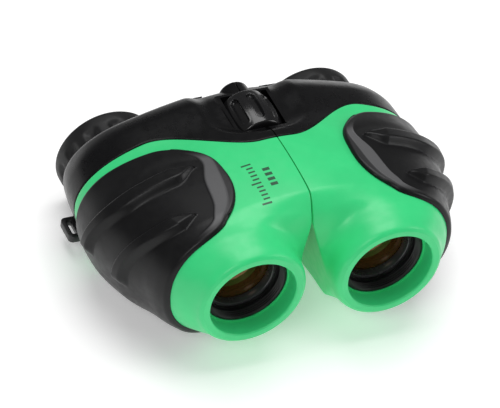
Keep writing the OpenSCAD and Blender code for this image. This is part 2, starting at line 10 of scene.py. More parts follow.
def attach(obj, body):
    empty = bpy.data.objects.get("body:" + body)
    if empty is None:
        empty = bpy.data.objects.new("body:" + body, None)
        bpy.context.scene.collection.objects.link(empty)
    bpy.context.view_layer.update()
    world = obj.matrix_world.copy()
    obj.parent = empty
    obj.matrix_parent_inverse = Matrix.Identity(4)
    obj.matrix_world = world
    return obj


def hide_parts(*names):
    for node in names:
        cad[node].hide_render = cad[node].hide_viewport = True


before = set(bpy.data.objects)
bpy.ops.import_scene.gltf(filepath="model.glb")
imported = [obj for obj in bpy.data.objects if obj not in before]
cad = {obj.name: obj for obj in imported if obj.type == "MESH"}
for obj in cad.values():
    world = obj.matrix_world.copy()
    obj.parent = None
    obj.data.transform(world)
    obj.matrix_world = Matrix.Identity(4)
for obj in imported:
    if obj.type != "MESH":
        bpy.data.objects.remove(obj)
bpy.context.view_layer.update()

# Front shells
# Two injection-moulded ABS shells, each a barrel that flares into half of the body. They carry the
# objective tubes, the prisms and the hinge knuckles. The face at the seam is relieved for folding.
HINGE_H = 42.0
# The frame starts from the middle of the length, which is this far behind the middle of the body
MID_Y = 1.5
TUBE_X, TUBE_H, BARREL_R = 22.0, 28.3, 17.3
REACH, RISE, TILT = 28.9, 20.7, 17.0
SHELL_WALL, SEAM_GAP = 1.8, 0.15
FOLD_SLOPE = math.tan(math.radians(15))
REAR_Y, FLOOR_H = 31.2, 2.0
B = BARREL_R
# y, centre x, centre z, reach in, reach out, rise, drop, tilt, fullness
BODY_SECTIONS = np.array([
    [-42.1, TUBE_X, TUBE_H, B - 1.7, B - 1.7, B - 1.7, B - 1.7, 0, 2],
    [-41.4, TUBE_X, TUBE_H, B - 0.7, B - 0.7, B - 0.7, B - 0.7, 0, 2],
    [-39.7, TUBE_X, TUBE_H, B, B, B, B, 0, 2],
    [-36, TUBE_X + 0.2, TUBE_H - 0.2, B + 0.6, B + 3.2, B + 0.9, B + 1.2, -TILT * 0.2, 2],
    [-32.5, TUBE_X + 0.4, TUBE_H - 0.4, B + 3, B + 5.2, B + 2, B + 2.2, -TILT * 0.5, 2.05],
    [-29, TUBE_X + 0.6, TUBE_H - 0.5, B + 14, B + 6.6, RISE - 1.2, B + 2.8, -TILT * 0.75, 2.15],
    [-24.5, 23, 27.4, 44, REACH - 4.2, RISE - 0.4, 20.2, -TILT * 0.88, 2.28],
    [-12, 25, 26.4, 48, REACH - 1.2, RISE, 22.2, -TILT * 0.97, 2.33],
    [0, 26.5, 25.8, 50, REACH, RISE - 0.6, 23.2, -TILT, 2.35],
    [12, 27.2, 25.2, 51, REACH - 0.8, RISE - 1.6, 23.2, -TILT, 2.35],
    [22, 28, 24.6, 52, REACH - 2.4, RISE - 1.4, 22.6, -TILT, 2.35],
    [28, 29.4, 23, 52, REACH - 5, RISE - 2.2, 20.6, -TILT, 2.3],
    [REAR_Y, 31, 21, 52, REACH - 8, RISE - 4, 18.4, -TILT, 2.25]])


def ease(v):
    t = np.clip(v, 0, 1)
    return t * t * (3 - 2 * t)


def section_at(y):
    """The body's section at y, carried smoothly between the drawn sections."""
    y = np.asarray(y, float)
    ys, vals = BODY_SECTIONS[:, 0], BODY_SECTIONS[:, 1:]
    i = np.clip(np.searchsorted(ys, y, side="right") - 1, 0, len(ys) - 2)
    grade = (vals[1:] - vals[:-1]) / (ys[1:] - ys[:-1])[:, None]
    slope = np.zeros_like(vals)
    slope[0], slope[-1] = grade[0], grade[-1]
    a, b = grade[:-1], grade[1:]
    slope[1:-1] = np.where(a * b > 0, 2 * a * b / np.where(a + b == 0, 1, a + b), 0)
    h = (ys[i + 1] - ys[i])[..., None]
    t = (y - ys[i])[..., None] / h
    return ((2 * t**3 - 3 * t**2 + 1) * vals[i] + (t**3 - 2 * t**2 + t) * h * slope[i]
            + (3 * t**2 - 2 * t**3) * vals[i + 1] + (t**3 - t**2) * h * slope[i + 1])


def section_point(y, a, inset):
    cx, cz, r_in, r_out, rise, drop, tilt, full = np.moveaxis(section_at(y), -1, 0)
    c, s, p, t = np.cos(a), np.sin(a), 2 / full, np.radians(tilt)
    u = (np.where(c < 0, r_in, r_out) - inset) * np.sign(c) * np.abs(c) ** p
    v = (np.where(s > 0, rise, drop) - inset) * np.sign(s) * np.abs(s) ** p
    return cx + u * np.cos(t) - v * np.sin(t), cz + u * np.sin(t) + v * np.cos(t)


def edge_line(x, y):
    """How far a line round the body is pulled forward over the hinge and back at the sides."""
    w = np.where(y < 10, ease((y + 26) / 36), ease((REAR_Y - 1.9 - y) / 19))
    return w * (16 * ease((x - 5) / 30) - 11)


def wheel_dish(x, y, z):
    g = np.minimum(0, y - 15) / 13
    e = 1 - x * x / 289 - g * g
    return np.where((z < HINGE_H) | (e <= 0), 0, 2.2 * ease(e * 1.6))


def round_max(a, b, r):
    d = a - b
    return b + 0.5 * (d + np.sqrt(d * d + r * r))


def body_skin(y0, a, inset=0.0, soft=1.0):
    """A point of the right half's surface in mm, drawn in by inset."""
    y0, a, inset = np.broadcast_arrays(np.asarray(y0, float), a, inset)
    x, z = section_point(y0, a, inset)
    y = y0 + edge_line(x, y0)
    x, z = section_point(y, a, inset)
    z = z - wheel_dish(x, y, z)
    seam = SEAM_GAP + inset + np.maximum(0, HINGE_H - z) * FOLD_SLOPE
    return np.stack([round_max(x, seam, 0.5 * soft), y, round_max(z, FLOOR_H + inset, 0.9 * soft)], -1)


RING_N = 220


def body_ring(y0, inset=0.0, n=RING_N):
    """One closed line round the half, with more points where it turns sharply."""
    p = body_skin(y0, np.linspace(0, 2 * math.pi, 2400, endpoint=False), inset)
    step = np.roll(p, -1, 0) - p
    length = np.linalg.norm(step, axis=1)
    d = step / np.maximum(length, 1e-9)[:, None]
    turn = np.arccos(np.clip((d * np.roll(d, 1, 0)).sum(1), -1, 1)) * (length > 1e-7)
    turn = np.convolve(np.concatenate([turn[-20:], turn, turn[:20]]), np.ones(41) / 41, "valid")
    w = length / length.sum() * 0.72 + turn / max(turn.sum(), 1e-9) * 0.28
    s = np.concatenate([[0], np.cumsum(w)])
    q = np.vstack([p, p[:1]])
    at = np.arange(n) / n * s[-1]
    return np.stack([np.interp(at, s, q[:, k]) for k in range(3)], 1)


def round_ring(y, r, x, z, n=RING_N):
    a = np.arange(n) / n * 2 * math.pi
    return np.stack([x + r * np.cos(a), np.full(n, float(y)), z + r * np.sin(a)], 1)


def strip_faces(m, n, close_rows=False, close_ring=True):
    """Quads between m rows of n points."""
    out = []
    for i in range(m if close_rows else m - 1):
        k = (i + 1) % m
        for j in range(n if close_ring else n - 1):
            l = (j + 1) % n
            out.append((i * n + j, i * n + l, k * n + l, k * n + j))
    return out


def piece(name, points, faces, side=1, crease=32, tone=None):
    """A mesh piece from points in mm. side -1 is the same piece mirrored across the seam."""
    pts = np.asarray(points, float).reshape(-1, 3) * np.array([side, 1, 1])
    pts = (pts - np.array([0, MID_Y, 0])) * 0.001
    mesh = bpy.data.meshes.new(name)
    mesh.from_pydata(pts.tolist(), [], faces)
    if tone is not None:
        shade = mesh.attributes.new("crescent", "FLOAT", "POINT")
        shade.data.foreach_set("value", np.asarray(tone, np.float32))
    bm = bmesh.new()
    bm.from_mesh(mesh)
    bmesh.ops.remove_doubles(bm, verts=bm.verts, dist=1e-7)
    bmesh.ops.recalc_face_normals(bm, faces=bm.faces)
    bm.to_mesh(mesh)
    bm.free()
    obj = bpy.data.objects.new(name, mesh)
    bpy.context.scene.collection.objects.link(obj)
    smooth(obj, crease)
    return obj


def smooth(obj, crease=32):
    mesh = obj.data
    mesh.polygons.foreach_set("use_smooth", [True] * len(mesh.polygons))
    mesh.set_sharp_from_angle(angle=math.radians(crease))


def turned(name, outline, x, z, side=1, n=128, crease=32):
    """A piece turned round an axis along Y from a closed [radius, y] outline."""
    rows = [round_ring(y, r, x, z, n) for r, y in outline]
    return piece(name, rows, strip_faces(len(rows), n, close_rows=True), side, crease)


def rod(y0, y1, r, x=0.0, z=HINGE_H, n=72):
    rows = [round_ring(y0, r, x, z, n), round_ring(y1, r, x, z, n)]
    caps = [tuple(range(n)), tuple(range(2 * n - 1, n - 1, -1))]
    return piece("tool", rows, strip_faces(2, n) + caps)


BOX_FACES = [(0, 1, 3, 2), (4, 6, 7, 5), (0, 4, 5, 1), (2, 3, 7, 6), (0, 2, 6, 4), (1, 5, 7, 3)]


def block(lo, hi):
    p = [(x, y, z) for x in (lo[0], hi[0]) for y in (lo[1], hi[1]) for z in (lo[2], hi[2])]
    return piece("tool", p, BOX_FACES)


def machine(obj, operation, tools):
    """Cuts tools out of obj, or fuses them to it."""
    for tool in tools:
        mod = obj.modifiers.new("m", "BOOLEAN")
        mod.operation, mod.object, mod.solver = operation, tool, "MANIFOLD"
        bpy.context.view_layer.update()
        done = bpy.data.meshes.new_from_object(obj.evaluated_get(bpy.context.evaluated_depsgraph_get()))
        obj.modifiers.clear()
        obj.data = done
        bpy.data.objects.remove(tool)
    smooth(obj)
    return obj


def moulded(name, colour, rough, grain=0.35, depth=0.012, mottle=0.08, scuff=0.12, level=0.5, coat=0.0,
            painted_sheen_colour=None):
    """A moulded finish: fine spark-eroded grain, slight mottling, handling marks along the edges, and
    optionally a painted sheen over the 'crescent' attribute.
    """
    mat = bpy.data.materials.new(name)
    mat.use_nodes = True
    nt = mat.node_tree
    new, link = nt.nodes.new, nt.links.new
    sh = nt.nodes["Principled BSDF"]
    sh.inputs["Specular IOR Level"].default_value = level
    sh.inputs["Coat Weight"].default_value = coat
    sh.inputs["Coat Roughness"].default_value = 0.12
    where = new("ShaderNodeTexCoord").outputs["Object"]

    def noise(scale_mm, detail=3.0):
        t = new("ShaderNodeTexNoise")
        t.inputs["Scale"].default_value = 1000 / scale_mm
        t.inputs["Detail"].default_value = detail
        link(where, t.inputs["Vector"])
        return t.outputs["Fac"]

    def ramp(fac, lo, hi, a=0.35, b=0.65):
        r = new("ShaderNodeMapRange")
        link(fac, r.inputs["Value"])
        for key, v in (("From Min", a), ("From Max", b), ("To Min", lo), ("To Max", hi)):
            r.inputs[key].default_value = v
        return r.outputs["Result"]

    def blend(fac, a, b):
        m = new("ShaderNodeMix")
        m.data_type = "RGBA"
        link(fac, m.inputs["Factor"])
        for sock, v in ((m.inputs[6], a), (m.inputs[7], b)):
            if isinstance(v, tuple):
                sock.default_value = v
            else:
                link(v, sock)
        return m.outputs[2]

    dark = tuple(c * (1 - mottle) for c in colour) + (1,)
    light = tuple(min(1, c * (1 + mottle)) for c in colour) + (1,)
    worn = tuple(min(1, c * 1.25 + 0.02) for c in colour) + (1,)
    base = blend(ramp(noise(14.0), 0, 1), dark, light)
    point = new("ShaderNodeNewGeometry").outputs["Pointiness"]
    edge = ramp(point, 0, scuff, 0.53, 0.62)
    base = blend(edge, base, worn)
    if painted_sheen_colour:
        # painted sheen: the crescent on each grip is moulded smooth, and is given a paler base colour than
        # the field beside it, standing in for the light its bevel catches
        tone = new("ShaderNodeAttribute")
        tone.attribute_name = "crescent"
        base = blend(tone.outputs["Fac"], base, painted_sheen_colour + (1,))
    link(base, sh.inputs["Base Color"])
    link(ramp(noise(2.6), rough * 0.86, rough * 1.14), sh.inputs["Roughness"])
    bump = new("ShaderNodeBump")
    bump.inputs["Strength"].default_value = 0.5
    bump.inputs["Distance"].default_value = depth * 0.001
    link(noise(grain, 2.0), bump.inputs["Height"])
    link(bump.outputs["Normal"], sh.inputs["Normal"])
    return mat


def fit_out(obj, material, body, slot, *nodes):
    obj.data.materials.clear()
    obj.data.materials.append(material)
    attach(obj, body)
    if nodes:
        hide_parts(*nodes)
    return obj


shell_green = moulded("shell_green", (0.045, 0.70, 0.235), 0.36, grain=0.4, depth=0.01, mottle=0.04,
                      level=0.45)
BORE_R, HOOD_R, HOOD_Y = 12.96, 13.5, -36.5
KNUCKLE_R, POCKET_R, SHAFT_BORE = 4.4, 4.8, 2.06
LEFT_FRONT, RIGHT_MID, LEFT_BACK = (-20.0, -12.0), (-11.85, -2.0), (1.2, 6.65)


def front_shell(side):
    rows = [body_ring(y) for y in np.concatenate([
        -42.1 + 2.4 * (np.linspace(0, 1, 9) ** 1.5), np.linspace(-38.9, -22, 36), np.linspace(-21, 9.2, 32)])]
    rows += [body_ring(10 - 0.4 * (1 - math.sin(t)), 0.4 * (1 - math.cos(t)))
             for t in (0, 0.4, 0.8, 1.2, 1.57)]
    rows += [body_ring(10, 1.1), body_ring(10, SHELL_WALL)]
    rows += [body_ring(y, SHELL_WALL) for y in np.linspace(8, -26.5, 18)]
    turn = lambda y, r: round_ring(y, r, TUBE_X, TUBE_H)
    step = ((-29, BORE_R + 1.6), (-24.6, BORE_R + 1.6), (-24.5, BORE_R + 1.5), (-24.5, BORE_R))
    rows += [turn(y, r) for y, r in step]
    rows += [turn(HOOD_Y, BORE_R), turn(HOOD_Y, HOOD_R), turn(-39, HOOD_R), turn(-41.5, HOOD_R)]
    rows += [turn(-42.1 + 0.6 * (1 - math.sin(t)), HOOD_R + 0.6 * (1 - math.cos(t)))
             for t in (0.35, 0.8, 1.2, 1.57)]
    rows += [turn(-42.1, B - 2.2)]
    name = ("left" if side < 0 else "right") + "_shell_moulding"
    shell = piece(name, rows, strip_faces(len(rows), RING_N, close_rows=True), side)
    cuts = [rod(-22.4, -20.1, 3.7)]
    if side < 0:
        cuts.append(rod(RIGHT_MID[0] - 0.15, 11, POCKET_R))
    else:
        cuts += [rod(LEFT_FRONT[0] - 0.2, LEFT_FRONT[1] + 0.05, POCKET_R),
                 rod(RIGHT_MID[1] + 0.1, 11, POCKET_R)]
    machine(shell, "DIFFERENCE", cuts)
    machine(shell, "UNION", [rod(*(LEFT_FRONT if side < 0 else RIGHT_MID), KNUCKLE_R)])
    return machine(shell, "DIFFERENCE", [rod(-24, 12, SHAFT_BORE)])


left_shell = fit_out(front_shell(-1), shell_green, "left_half", "shell_plastic", "left_shell")
fit_out(front_shell(1), shell_green, "right_half", "shell_plastic", "right_shell")

# Scale marks
# A distance scale pad-printed on the left shell beside the seam, in dark green ink: a long row of
# strokes with every fifth one taller, and a short row of blocks beside it.
ink = moulded("scale_ink", (0.010, 0.085, 0.035), 0.45, grain=0.2, depth=0.004, mottle=0.1, scuff=0.0)


def stroke(tree, x, y, w, l):
    """A patch of ink lying on the shell: w across the seam, l along it."""
    rows = []
    for u in np.linspace(-0.5, 0.5, 5):
        row = []
        for v in np.linspace(-0.5, 0.5, 3):
            above = Vector(((x + u * w) * 0.001, (y + v * l - MID_Y) * 0.001, 0.09))
            hit = tree.ray_cast(above, Vector((0, 0, -1)))
            row.append([x + u * w, y + v * l, hit[0].z * 1000 + 0.015])
        rows.append(row)
    return rows


tree = BVHTree.FromObject(left_shell, bpy.context.evaluated_depsgraph_get())
points, faces = [], []
marks = [(-13.2 - (0.5 if i % 5 == 0 else 0), -9.6 - 1.62 * i, 3.0 if i % 5 == 0 else 2.0, 0.62)
         for i in range(11)]
marks += [(-8.9, -13.2 - 2.1 * i, 2.2, 1.2) for i in range(4)]
for x, y, w, l in marks:
    start = len(points)
    points += [p for row in stroke(tree, x, y, w, l) for p in row]
    faces += [tuple(start + k for k in f) for f in strip_faces(5, 3, close_ring=False)]
scale_marks = piece("scale_marks", points, faces)
fit_out(scale_marks, ink, "left_half", "shell_plastic")

# Objective tubes
# Black turned-look tubes pressed in from the front, ribbed inside against stray light. Each holds
# a coated glass objective, kept in place by a thin ring that screws down on it.
LENS_R = 10.5
tube_black = moulded("tube_black", (0.006, 0.006, 0.0065), 0.4, grain=0.3, depth=0.008, scuff=0.05, level=0.4)
ring_grey = moulded("ring_grey", (0.03, 0.03, 0.032), 0.25, grain=0.25, depth=0.004, mottle=0.05, level=0.6)


def coated_glass(name, tint, painted_depth_shade, rough=0.02):
    """Coated glass, drawn opaque: the coating tints the reflection. The base colour is painted: near black
    seen straight on, as painted shade for the dark tube behind the glass, and turning towards the coating's
    tint at grazing angles, as a painted reflection.
    """
    mat = bpy.data.materials.new(name)
    mat.use_nodes = True
    nt = mat.node_tree
    new, link = nt.nodes.new, nt.links.new
    sh = nt.nodes["Principled BSDF"]
    sh.inputs["IOR"].default_value = 1.72
    sh.inputs["Specular IOR Level"].default_value = 0.62
    sh.inputs["Specular Tint"].default_value = tint + (1,)
    # painted shade and painted reflection: base colour near black facing the view, tinted by the coating
    # towards grazing angles
    facing = new("ShaderNodeLayerWeight")
    facing.inputs["Blend"].default_value = 0.35
    mix = new("ShaderNodeMix")
    mix.data_type = "RGBA"
    link(facing.outputs["Facing"], mix.inputs["Factor"])
    mix.inputs[6].default_value = painted_depth_shade + (1,)
    mix.inputs[7].default_value = tuple(min(1, c * 0.12 + d) for c, d in zip(tint, painted_depth_shade)) + (1,)
    link(mix.outputs[2], sh.inputs["Base Color"])
    where = new("ShaderNodeTexCoord").outputs["Object"]
    dust = new("ShaderNodeTexNoise")
    dust.inputs["Scale"].default_value = 900
    dust.inputs["Detail"].default_value = 5
    link(where, dust.inputs["Vector"])
    r = new("ShaderNodeMapRange")
    link(dust.outputs["Fac"], r.inputs["Value"])
    for key, v in (("From Min", 0.5), ("From Max", 0.8), ("To Min", rough), ("To Max", rough + 0.1)):
        r.inputs[key].default_value = v
    link(r.outputs["Result"], sh.inputs["Roughness"])
    return mat


objective_coat = coated_glass("objective_coat", (1.0, 0.46, 0.10), (0.007, 0.003, 0.0012))


def dome(r, sag, y, way, n=14):
    """The curved face of a lens, from its rim to its middle."""
    q = (r * r + sag * sag) / (2 * sag)
    return [(r * (1 - i / n) + 1e-4, y + way * (math.sqrt(q * q - (r * (1 - i / n)) ** 2) - (q - sag)))
            for i in range(n + 1)]


for side, half in ((-1, "left"), (1, "right")):
    ribs = []
    for i in range(4):
        y = HOOD_Y + 0.75 * i
        ribs += [(LENS_R + 1.5, y + 0.15), (LENS_R + 1.15, y + 0.4), (LENS_R + 1.5, y + 0.65)]
    back = HOOD_Y + 13
    outline = [(12.9, HOOD_Y + 0.25), (12.9, back), (LENS_R - 1.4, back), (LENS_R - 1.4, HOOD_Y + 9.5),
               (LENS_R + 0.6, HOOD_Y + 9.5), (LENS_R + 0.6, HOOD_Y + 3.4), (LENS_R + 1.5, HOOD_Y + 3.4)]
    outline += ribs[::-1] + [(LENS_R + 1.65, HOOD_Y), (12.65, HOOD_Y)]
    tube = turned(half + "_tube_turning", outline, TUBE_X, TUBE_H, side)
    fit_out(tube, tube_black, half + "_half", "inner_plastic", half + "_objective_tube")
    y = HOOD_Y + 4.2
    keeper = turned(half + "_keeper_ring", [
        (LENS_R + 0.54, y), (LENS_R + 0.54, y + 2.5), (LENS_R - 0.9, y + 2.2), (LENS_R - 0.95, y + 1.9),
        (LENS_R - 0.3, y + 0.15), (LENS_R - 0.1, y)], TUBE_X, TUBE_H, side)
    fit_out(keeper, ring_grey, half + "_half", "grey_plastic", half + "_objective_ring")
    glass = dome(LENS_R, 1.6, HOOD_Y + 6.8, -1) + dome(LENS_R, 0.9, HOOD_Y + 9.2, 1)[::-1]
    lens = turned(half + "_objective_glass", glass, TUBE_X, TUBE_H, side, n=160)
    fit_out(lens, objective_coat, half + "_half", "coated_glass", half + "_objective_lens")

# Prism sets
# Each half has a moulded grey frame with a roof prism glued to either face, held in the shell by
# two small pan-head screws. Only the frame's edges can be seen, through the open eyepieces.
frame_grey = moulded("frame_grey", (0.055, 0.055, 0.058), 0.5, grain=0.3, depth=0.01)


def clear_glass(name, tint):
    mat = bpy.data.materials.new(name)
    mat.use_nodes = True
    nt = mat.node_tree
    sh = nt.nodes["Principled BSDF"]
    sh.inputs["Transmission Weight"].default_value = 0.9
    sh.inputs["IOR"].default_value = 1.52
    haze = nt.nodes.new("ShaderNodeTexNoise")
    haze.inputs["Scale"].default_value = 700
    nt.links.new(nt.nodes.new("ShaderNodeTexCoord").outputs["Object"], haze.inputs["Vector"])
    spread = nt.nodes.new("ShaderNodeMapRange")
    spread.inputs["To Min"].default_value = 0.01
    spread.inputs["To Max"].default_value = 0.06
    nt.links.new(haze.outputs["Fac"], spread.inputs["Value"])
    nt.links.new(spread.outputs["Result"], sh.inputs["Roughness"])
    mix = nt.nodes.new("ShaderNodeMix")
    mix.data_type = "RGBA"
    nt.links.new(haze.outputs["Fac"], mix.inputs["Factor"])
    mix.inputs[6].default_value = tint + (1,)
    mix.inputs[7].default_value = tuple(c * 0.93 for c in tint) + (1,)
    nt.links.new(mix.outputs[2], sh.inputs["Base Color"])
    return mat


def steel_finish(name, colour, rough):
    """Turned or plated steel: fine rings left by the tool."""
    mat = bpy.data.materials.new(name)
    mat.use_nodes = True
    nt = mat.node_tree
    new, link = nt.nodes.new, nt.links.new
    sh = nt.nodes["Principled BSDF"]
    sh.inputs["Metallic"].default_value = 1.0
    where = new("ShaderNodeTexCoord").outputs["Object"]
    line = new("ShaderNodeTexNoise")
    stretch = new("ShaderNodeMapping")
    stretch.inputs["Scale"].default_value = (300, 6000, 300)
    link(where, stretch.inputs["Vector"])
    link(stretch.outputs["Vector"], line.inputs["Vector"])
    line.inputs["Scale"].default_value = 1.0
    r = new("ShaderNodeMapRange")
    link(line.outputs["Fac"], r.inputs["Value"])
    r.inputs["To Min"].default_value = rough * 0.7
    r.inputs["To Max"].default_value = rough * 1.4
    link(r.outputs["Result"], sh.inputs["Roughness"])
    mix = new("ShaderNodeMix")
    mix.data_type = "RGBA"
    link(line.outputs["Fac"], mix.inputs["Factor"])
    mix.inputs[6].default_value = tuple(c * 0.85 for c in colour) + (1,)
    mix.inputs[7].default_value = colour + (1,)
    link(mix.outputs[2], sh.inputs["Base Color"])
    bump = new("ShaderNodeBump")
    bump.inputs["Strength"].default_value = 0.3
    bump.inputs["Distance"].default_value = 0.00001
    link(line.outputs["Fac"], bump.inputs["Height"])
    link(bump.outputs["Normal"], sh.inputs["Normal"])
    return mat


prism_glass = clear_glass("prism_glass", (0.80, 0.86, 0.82))
steel = steel_finish("plated_steel", (0.62, 0.62, 0.63), 0.26)


def refinish(material, *names):
    for name in names:
        mesh = cad[name].data
        mesh.materials.clear()
        mesh.materials.append(material)


refinish(frame_grey, "left_prism_frame", "right_prism_frame")
refinish(prism_glass, "left_prism_rear", "left_prism_front", "right_prism_rear", "right_prism_front")
refinish(steel, "left_frame_screws", "right_frame_screws")

# Hinge
# A steel shaft runs through the knuckles of both halves and out under the wheel. A clip in a
# groove at its front end keeps it there.
refinish(steel, "hinge_shaft", "shaft_clips")

# Rear covers
# Black moulded covers close each half. They join round the focus wheel, where they dish down, and
# each carries half of the wheel's housing and half of the round boss over the screw.
cover_black = moulded("cover_black", (0.005, 0.005, 0.0055), 0.3, grain=0.45, depth=0.012, mottle=0.05,
                      scuff=0.04, level=0.2)
EYE_X, EYE_H, EYE_BORE = 34.0, 16.4, 12.66
WHEEL_Y, WHEEL_LEN, WHEEL_R = 15.2, 15.0, 8.6
BAY = (6.8, 23.6)
BAY_HALF, HOUSE_R, HOUSE_T = 7.3, 9.2, 0.9
BOSS_R, NUT_POCKET_R = 4.9, 3.9


def half_of(obj, side, gap, top):
    """Trims a turned piece to its own side of the folding gap."""
    bm = bmesh.new()
    bm.from_mesh(obj.data)
    h = HINGE_H * 0.001
    planes = [((side * gap * 0.001, 0, h), (side, 0, 0)), ((side * gap * 0.001, 0, h), (side, 0, FOLD_SLOPE)),
              ((0, 0, h + top * 0.001), (0, 0, -1))]
    for at, keep in planes:
        bmesh.ops.bisect_plane(bm, geom=bm.verts[:] + bm.edges[:] + bm.faces[:], dist=1e-7, plane_co=at,
                               plane_no=Vector(keep).normalized(), clear_inner=True)
        bmesh.ops.holes_fill(bm, edges=[e for e in bm.edges if e.is_boundary], sides=0)
    bmesh.ops.recalc_face_normals(bm, faces=bm.faces)
    bm.to_mesh(obj.data)
    bm.free()
    return obj


def boss():
    rows = [(23.8, BOSS_R)]
    rows += [(29.2 + 1.1 * math.sin(t), BOSS_R - 1.1 + 1.1 * math.cos(t)) for t in (0, 0.4, 0.8, 1.2, 1.57)]
    rows = [round_ring(y, r, 0, HINGE_H, 96) for y, r in rows]
    n = len(rows) * 96
    ends = [tuple(range(96)), tuple(range(n - 1, n - 97, -1))]
    return piece("tool", rows, strip_faces(len(rows), 96) + ends)


def arm_slot(side):
    """The way through the cover for the arm that carries the eyepiece."""
    a = math.atan2(HINGE_H - EYE_H, EYE_X)
    pts = [(x * math.cos(a) + z * math.sin(a), y, HINGE_H - x * math.sin(a) + z * math.cos(a))
           for x in (0, 20) for y in (24.55, 29.15) for z in (-2.6, 2.6)]
    return piece("tool", pts, BOX_FACES, side)


def rear_cover(side):
    middle = np.array([31, 0, 20])
    centre = lambda ring: middle * [1, 0, 1] + [0, ring[0, 1], 0]
    drawn = lambda ring, k: centre(ring) + (ring - centre(ring)) * k
    wall_ring = body_ring(REAR_Y - SHELL_WALL, SHELL_WALL)
    rows = [drawn(wall_ring, k) for k in (0.15, 0.4, 0.7, 0.9)] + [wall_ring]
    rows += [body_ring(y, SHELL_WALL) for y in np.linspace(28, 10.6, 9)]
    rows += [body_ring(10.2, SHELL_WALL), body_ring(10.2, 1.1)]
    rows += [body_ring(10.2 + 0.4 * (1 - math.sin(t)), 0.4 * (1 - math.cos(t)))
             for t in (1.57, 1.2, 0.8, 0.4, 0)]
    rows += [body_ring(y) for y in np.linspace(11, REAR_Y - 1.3, 40)]
    rows += [body_ring(REAR_Y - 1.2 * (1 - math.sin(t)), 1.2 * (1 - math.cos(t)))
             for t in np.linspace(0, 1.57, 7)]
    rows += [drawn(rows[-1], k) for k in (0.9, 0.7, 0.4, 0.15)]
    n = len(rows) * RING_N
    caps = [tuple(range(RING_N)), tuple(range(n - 1, n - RING_N - 1, -1))]
    name = ("left" if side < 0 else "right") + "_cover_moulding"
    cover = piece(name, rows, strip_faces(len(rows), RING_N) + caps, side)
    house = rod(BAY[0] - HOUSE_T, BAY[1] + HOUSE_T, HOUSE_R + HOUSE_T, n=128)
    adds = [half_of(house, side, 0.6, 5.3), half_of(boss(), side, 0.17, 20)]
    if side < 0:
        adds.append(rod(*LEFT_BACK, KNUCKLE_R))
    machine(cover, "UNION", adds)
    cuts = [rod(-4, BAY[0] - 0.1, POCKET_R)] if side > 0 else []
    cuts += [rod(BAY[0], BAY[1], HOUSE_R, n=128),
             block((-BAY_HALF, BAY[0], HINGE_H + 2), (BAY_HALF, BAY[1], HINGE_H + 40)),
             rod(BAY[1] + HOUSE_T - 0.03, 29.5, NUT_POCKET_R), rod(BAY[1] - 1, BAY[1] + HOUSE_T + 1, 3.2),
             rod(-4, BAY[1] - 2, SHAFT_BORE),
             arm_slot(side), rod(20, 42, EYE_BORE, side * EYE_X, EYE_H, 128)]
    lug_x = sorted((side * 43.57, side * 54.3))
    cuts.append(block((lug_x[0], 16.57, 5.77), (lug_x[1], 25.63, 8.23)))
    return machine(cover, "DIFFERENCE", cuts)


fit_out(rear_cover(-1), cover_black, "left_half", "cover_plastic", "left_cover")
fit_out(rear_cover(1), cover_black, "right_half", "cover_plastic", "right_cover")

# Strap lugs
# A slotted plate let into the outer lower corner of each cover, for the neck strap.
lug_black = moulded("lug_black", (0.014, 0.014, 0.015), 0.4, grain=0.35, depth=0.012, scuff=0.1)


def rounded_loop(x0, x1, y0, y1, r, n=12):
    pts = []
    corners = ((x1 - r, y1 - r, 0), (x0 + r, y1 - r, 90), (x0 + r, y0 + r, 180), (x1 - r, y0 + r, 270))
    for cx, cy, start in corners:
        for k in range(n):
            a = math.radians(start + 90 * k / (n - 1))
            pts.append((cx + r * math.cos(a), cy + r * math.sin(a)))
    return pts


for side, half in ((-1, "left"), (1, "right")):
    z0, z1, e = 5.8, 8.2, 0.3
    plan = lambda g: rounded_loop(43.6 + g, 54.2 - g, 16.6 + g, 25.6 - g, 1.6 - g)
    hole = lambda g: rounded_loop(51.1 - g, 52.7 + g, 18.2 - g, 24.0 + g, 0.6 + g)
    rows = [[(x, y, z) for x, y in loop] for loop, z in (
        (plan(e), z0), (plan(0.08), z0 + 0.1), (plan(0), z0 + e),
        (plan(0), z1 - e), (plan(0.08), z1 - 0.1), (plan(e), z1),
        (hole(0.2), z1), (hole(0), z1 - 0.25), (hole(0), z0 + 0.25), (hole(0.2), z0))]
    lug = piece(half + "_strap_lug", rows, strip_faces(len(rows), 48, close_rows=True), side, crease=40)
    fit_out(lug, lug_black, half + "_half", "cover_plastic", half + "_lug")

# Focus wheel
# A crowned glossy wheel on the hinge shaft, with long slots for the fingertip. Its sleeve is a fine
# steel screw that drives the nuts of both eyepiece arms along together.
wheel_black = moulded("wheel_black", (0.007, 0.007, 0.0075), 0.22, grain=0.5, depth=0.006, scuff=0.08,
                      level=0.5, coat=0.15)
SLOTS = 10


def ring_about(x, h, r, y, ang):
    """One ring of points about an axis along the length."""
    return np.stack([x + r * np.sin(ang), np.full(len(ang), y), h + r * np.cos(ang)], 1)[::-1]


